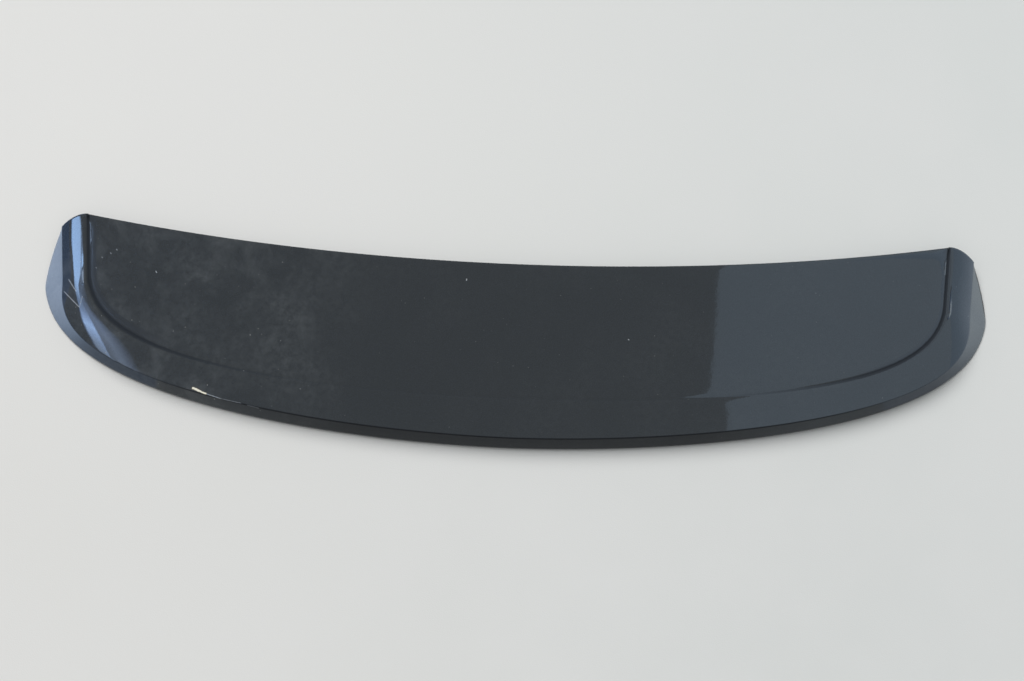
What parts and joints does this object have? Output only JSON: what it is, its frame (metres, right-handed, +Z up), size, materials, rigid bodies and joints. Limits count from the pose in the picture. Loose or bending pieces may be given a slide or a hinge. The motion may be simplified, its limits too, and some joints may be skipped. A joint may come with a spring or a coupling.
{
  "type": "car tailgate spoiler",
  "caption": "Wide curved tailgate spoiler, a hollow wedge with a concave leading edge, a creased top, rolled ends and blind threaded inserts underneath.",
  "frame": {"origin": "centre of the bounding box in plan, at the height of the lower edge that the part lies on", "axes": "+X along the width to the right end, +Y to the leading edge (the side bolted towards the roof), +Z up out of the painted top"},
  "size_m": [1.2, 0.2796, 0.0253],
  "materials": {
    "painted_body": "dark anthracite metallic paint under clear coat on ABS",
    "insert_brass": "turned, knurled"
  },
  "bodies": {
    "root": {"spoiler_body": "painted_body", "threaded_inserts": "insert_brass"}
  },
  "joints": []
}
